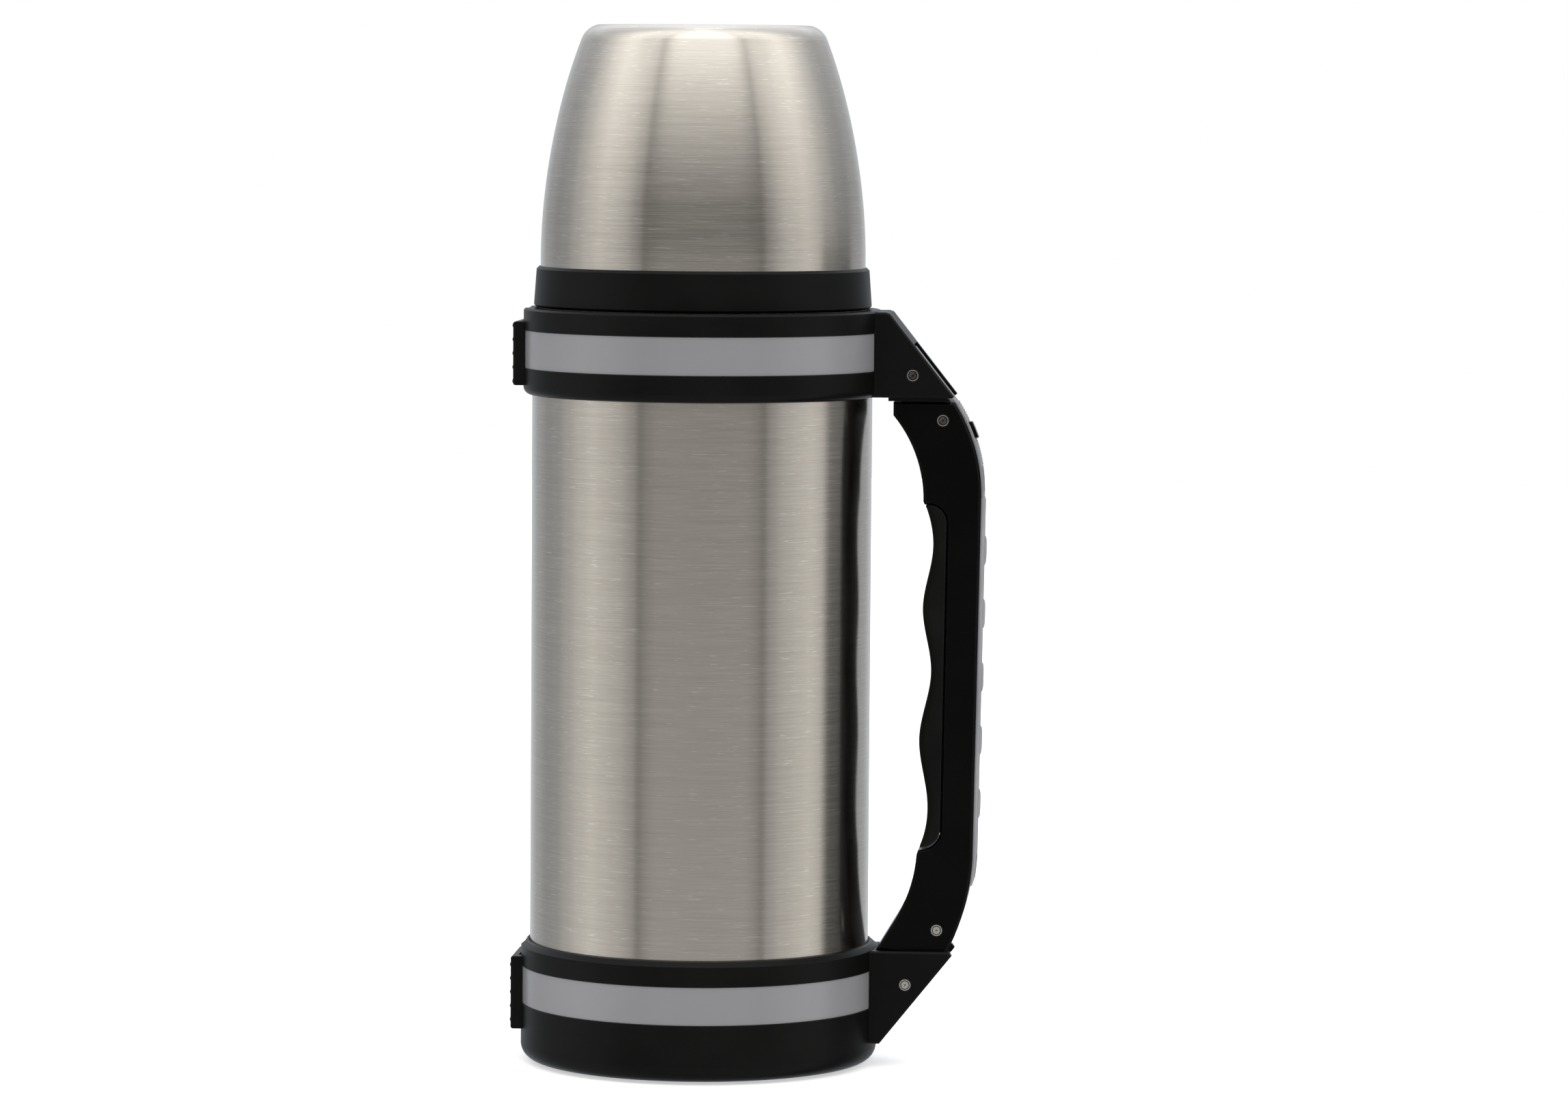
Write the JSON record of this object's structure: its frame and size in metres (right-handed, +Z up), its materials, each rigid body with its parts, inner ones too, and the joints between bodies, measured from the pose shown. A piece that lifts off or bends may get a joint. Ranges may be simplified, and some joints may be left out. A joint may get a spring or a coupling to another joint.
{
  "type": "vacuum flask",
  "caption": "Tall brushed-steel vacuum flask with cup lid, press-button stopper, black collars with silver bands, a fixed side handle with finger grip and strap loops.",
  "frame": {"origin": "middle of the underside of the foot pad, on the axis of the body", "axes": "+Z up along the body, +X out through the handle, +Y to the handle's left"},
  "size_m": [0.1505, 0.1136, 0.3297],
  "materials": {
    "brushed_steel": "fine brushed all round, satin",
    "plain_steel": "plain drawn steel",
    "solder": "dull solder bead",
    "getter_metal": "dull sintered metal",
    "foil": "bright thin foil",
    "black_plastic": "satin moulded black",
    "gloss_black_plastic": "glossy moulded black",
    "black_rubber": "soft matte black",
    "gray_rubber": "soft mid gray",
    "silver_trim": "smooth silver-gray painted strip",
    "turned_steel": "bright turned ends",
    "silicone": "soft pale silicone",
    "white_plastic": "plain moulded white",
    "gray_plastic": "satin moulded gray",
    "foam": "closed-cell foam"
  },
  "bodies": {
    "flask": {"outer_shell": "brushed_steel", "inner_liner": "plain_steel", "steel_base": "plain_steel", "vacuum_seal": "solder", "getter": "getter_metal", "foil_wrap": "foil", "base_cup": "black_plastic", "foot_pad": "black_rubber", "upper_collar": "black_plastic", "upper_band_front": "silver_trim", "upper_band_back": "silver_trim", "lower_band_front": "silver_trim", "lower_band_back": "silver_trim", "upper_strap_loop": "black_plastic", "lower_strap_loop": "black_plastic", "thread_ring": "black_plastic", "handle_core": "black_plastic", "handle_shell_front": "gloss_black_plastic", "handle_shell_back": "gloss_black_plastic", "finger_grip": "black_rubber", "back_strip": "gray_rubber", "back_pad": "gray_rubber", "strip_stud": "gloss_black_plastic", "upper_bracket_pin": "turned_steel", "upper_handle_pin": "turned_steel", "lower_handle_pin": "turned_steel", "lower_bracket_pin": "turned_steel"},
    "cup_seal": {"cup_seal": "silicone"},
    "cup": {"cup_shell": "brushed_steel", "cup_liner": "black_plastic"},
    "stopper_gasket": {"stopper_gasket": "silicone"},
    "stopper": {"stopper_body": "black_plastic", "stopper_base": "white_plastic", "stopper_foam": "foam", "button_spring": "turned_steel"},
    "button": {"pour_button": "gray_plastic", "valve_stem": "white_plastic", "valve_seal": "silicone"}
  },
  "joints": [
    {"name": "cup_turn", "type": "hinge", "parent": "flask", "child": "cup_seal", "pos_m": [0, 0, 0.2402], "axis": [0, 0, 1], "range_deg": [-45, 0]},
    {"name": "cup_lift", "type": "slide", "parent": "cup_seal", "child": "cup", "axis": [0, 0, 1], "range_m": [0, 0.115]},
    {"name": "stopper_turn", "type": "hinge", "parent": "flask", "child": "stopper_gasket", "pos_m": [0, 0, 0.2629], "axis": [0, 0, 1], "range_deg": [-45, 0]},
    {"name": "stopper_lift", "type": "slide", "parent": "stopper_gasket", "child": "stopper", "axis": [0, 0, 1], "range_m": [0, 0.031]},
    {"name": "button_press", "type": "slide", "parent": "stopper", "child": "button", "axis": [0, 0, -1], "range_m": [0, 0.003], "stiffness_N_per_m": 400, "springref_m": -0.003, "deforming": ["button_spring"]}
  ]
}
